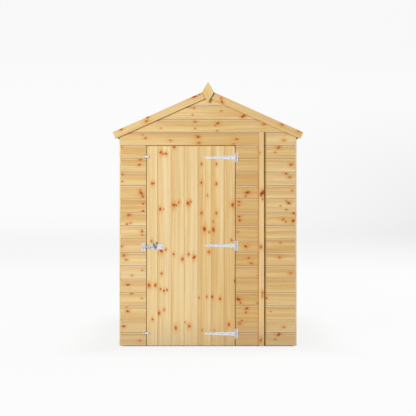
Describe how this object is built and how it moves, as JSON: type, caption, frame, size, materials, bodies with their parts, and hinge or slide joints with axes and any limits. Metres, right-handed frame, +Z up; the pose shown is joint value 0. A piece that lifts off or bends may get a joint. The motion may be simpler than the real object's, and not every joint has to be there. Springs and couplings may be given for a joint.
{
  "type": "wooden garden shed",
  "caption": "Apex-roof garden shed of horizontal shiplap pine with felted roof, barge boards, finial and a boarded door on T-hinges with pad bolt and turn buttons.",
  "frame": {"origin": "on the ground at the middle of the shed's plan", "axes": "+X to the right seen from the front, +Y from the front towards the back, +Z up"},
  "size_m": [1.614, 1.864, 2.2385],
  "materials": {
    "cladding_pine": "smooth planed",
    "trim_pine": "smooth planed",
    "frame_pine": "sawn",
    "floor_pine": "sawn",
    "roof_boarding": "sawn",
    "door_pine": "smooth planed",
    "roof_felt": "mineral felt",
    "zinc_hardware": "bright zinc"
  },
  "bodies": {
    "shed": {"front_left_cladding": "cladding_pine", "front_lintel_cladding": "cladding_pine", "front_right_cladding": "cladding_pine", "front_narrow_cladding": "cladding_pine", "back_cladding": "cladding_pine", "left_cladding": "cladding_pine", "right_cladding": "cladding_pine", "front_gable_cladding": "cladding_pine", "back_gable_cladding": "cladding_pine", "corner_strips": "trim_pine", "front_cover_strip": "trim_pine", "back_cover_strip": "trim_pine", "front_left_barge": "trim_pine", "front_right_barge": "trim_pine", "back_left_barge": "trim_pine", "back_right_barge": "trim_pine", "front_finial": "trim_pine", "back_finial": "trim_pine", "front_studs": "frame_pine", "front_rails": "frame_pine", "back_studs": "frame_pine", "back_rails": "frame_pine", "side_studs": "frame_pine", "side_rails": "frame_pine", "gable_rafters": "frame_pine", "ridge_beam": "frame_pine", "roof_purlins": "frame_pine", "eaves_rails": "frame_pine", "door_stops": "frame_pine", "floor_bearers": "floor_pine", "floor_deck": "floor_pine", "left_roof_panel": "roof_boarding", "right_roof_panel": "roof_boarding", "left_roof_felt": "roof_felt", "right_roof_felt": "roof_felt", "ridge_felt": "roof_felt", "hinge_plates": "zinc_hardware", "pad_bolt_keeper": "zinc_hardware", "turn_button_screws": "zinc_hardware"},
    "door": {"door_boards": "door_pine", "door_ledges": "frame_pine", "door_braces": "frame_pine", "hinge_straps": "zinc_hardware", "pad_bolt_plate": "zinc_hardware"},
    "pad_bolt": {"pad_bolt_rod": "zinc_hardware"},
    "turn_button_top": {"turn_button_top": "zinc_hardware"},
    "turn_button_bottom": {"turn_button_bottom": "zinc_hardware"}
  },
  "joints": [
    {"name": "door_hinge", "type": "hinge", "parent": "shed", "child": "door", "pos_m": [0.2315, -0.9055, 0.856], "axis": [0, 0, 1], "range_deg": [0, 170]},
    {"name": "pad_bolt_slide", "type": "slide", "parent": "door", "child": "pad_bolt", "axis": [1, 0, 0], "range_m": [0, 0.045]},
    {"name": "turn_button_top_turn", "type": "hinge", "parent": "shed", "child": "turn_button_top", "pos_m": [-0.541, -0.907, 1.607], "axis": [0, 1, 0], "range_deg": [0, 90]},
    {"name": "turn_button_bottom_turn", "type": "hinge", "parent": "shed", "child": "turn_button_bottom", "pos_m": [-0.541, -0.907, 0.114], "axis": [0, 1, 0], "range_deg": [0, 90]}
  ]
}
